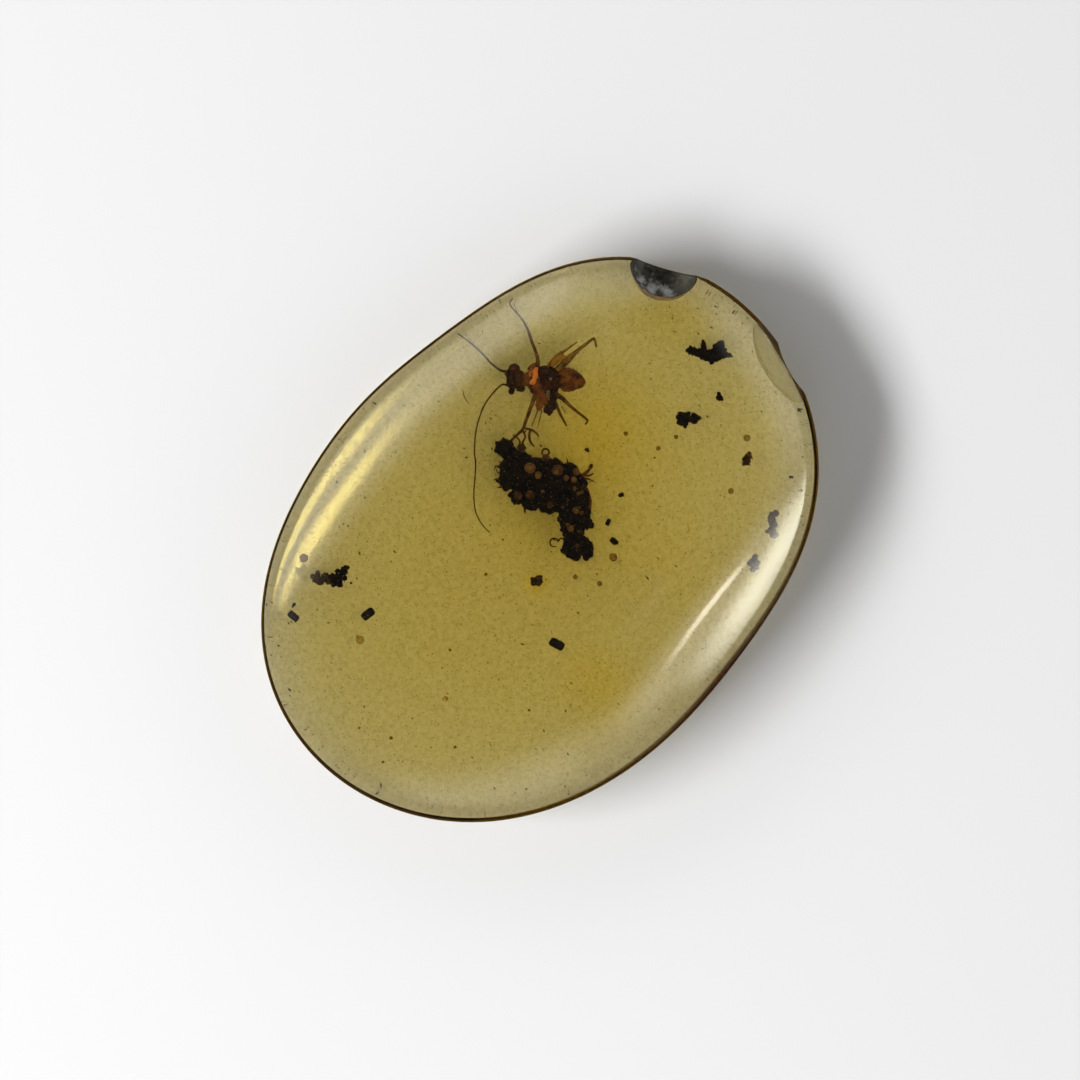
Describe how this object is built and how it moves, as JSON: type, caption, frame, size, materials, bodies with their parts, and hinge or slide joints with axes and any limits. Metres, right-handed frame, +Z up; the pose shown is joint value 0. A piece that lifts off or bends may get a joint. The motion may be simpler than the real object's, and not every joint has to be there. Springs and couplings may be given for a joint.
{
  "type": "insect in amber",
  "caption": "Polished drop of clear olive-yellow amber with a small winged insect and dark debris sealed inside, lying on its flat base.",
  "frame": {"origin": "middle of the bounding box, on the flat base", "axes": "+Z up out of the domed top, +X along the long axis towards the end with the two chips"},
  "size_m": [0.025, 0.0182, 0.0058],
  "materials": {
    "amber": "clear olive-yellow amber, hand polished, with fine dust inside",
    "insect": "dark brown to orange insect skin, sealed in the amber",
    "debris": "near-black plant and frass crumbs, sealed in the amber",
    "resin_drops": "orange-brown resin drops, sealed in the amber",
    "mineral_film": "dark grey film with pale crumbs in the half-moon chip"
  },
  "bodies": {
    "root": {"amber": "amber"}
  },
  "joints": []
}
